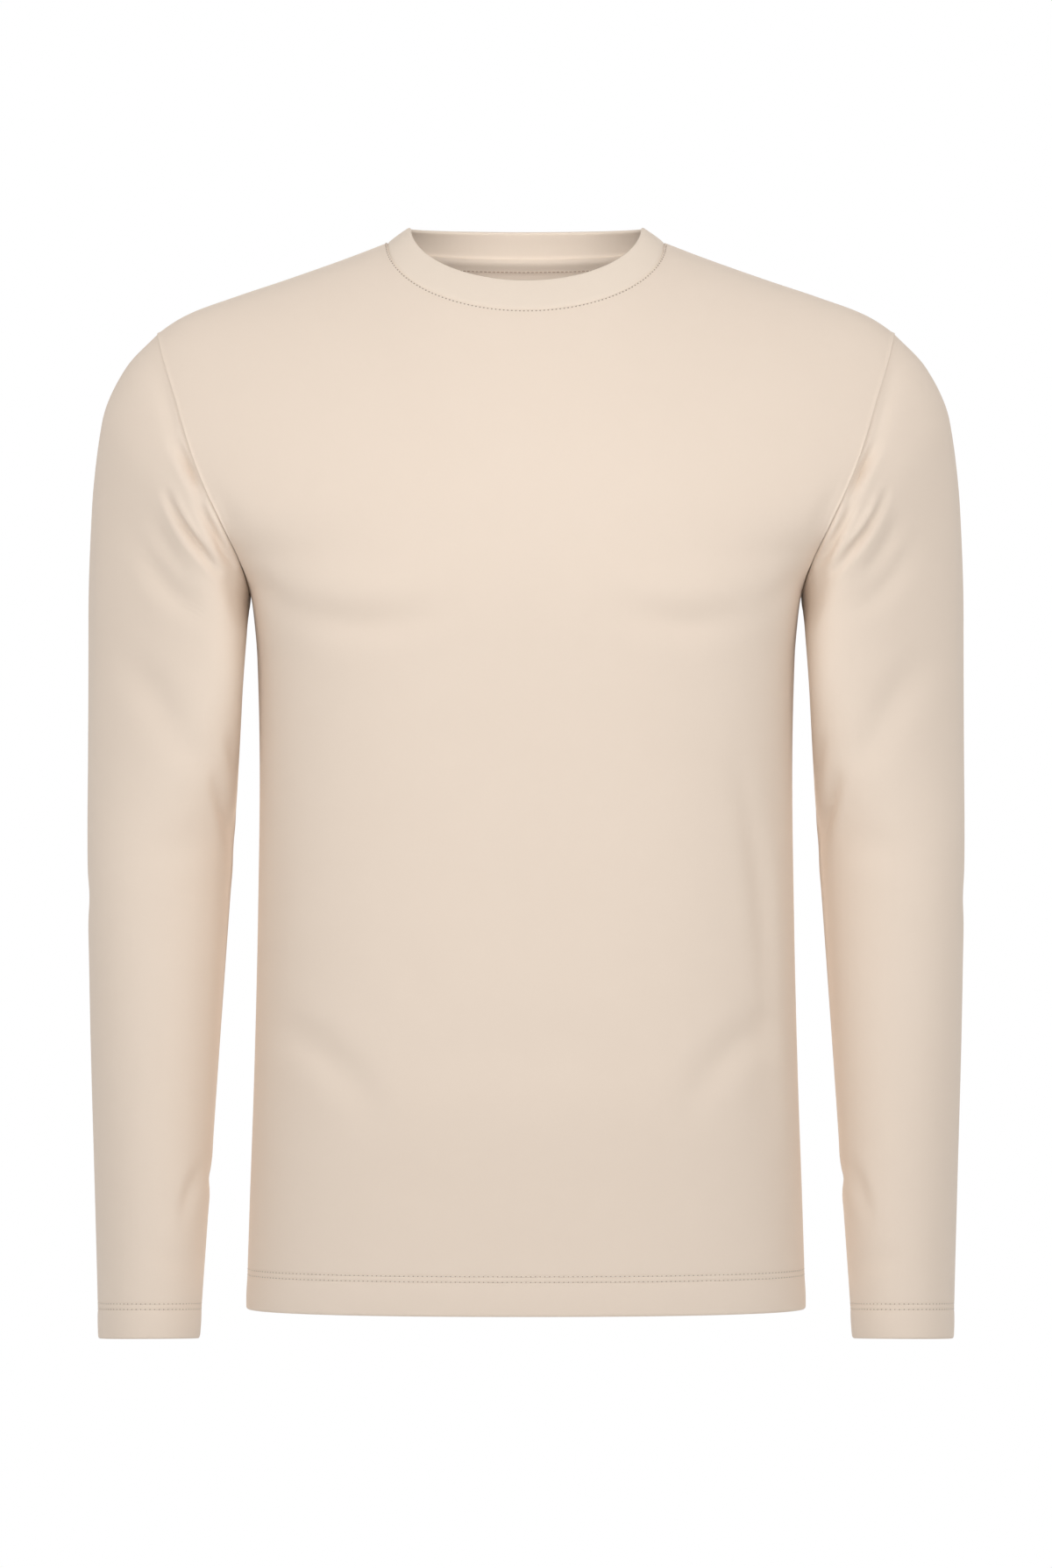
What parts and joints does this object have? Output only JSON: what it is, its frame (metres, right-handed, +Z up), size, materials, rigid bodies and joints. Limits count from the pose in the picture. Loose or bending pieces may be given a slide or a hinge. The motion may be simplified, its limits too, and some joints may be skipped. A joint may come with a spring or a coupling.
{
  "type": "long-sleeve t-shirt",
  "caption": "Long-sleeve crew-neck T-shirt in plain jersey, filled out as when worn, with set-in sleeves, a folded neckband, and open neck, hem and cuffs.",
  "frame": {"origin": "midway between the two points where a shoulder seam meets the neckband, where the wearer's shoulders hold the shirt up", "axes": "+Z up, from hem to neck; +Y towards the back, so the front faces -Y; +X towards the wearer's left sleeve"},
  "size_m": [0.5714, 0.2398, 0.7223],
  "materials": {
    "front": "plain sand-coloured jersey",
    "back": "plain sand-coloured jersey",
    "left_sleeve": "plain sand-coloured jersey",
    "right_sleeve": "plain sand-coloured jersey",
    "neckband": "plain sand-coloured jersey",
    "neck_tape": "plain sand-coloured jersey"
  },
  "bodies": {
    "root": {"front": "front", "back": "back", "left_sleeve": "left_sleeve", "right_sleeve": "right_sleeve", "neckband": "neckband", "neck_tape": "neck_tape"}
  },
  "joints": []
}
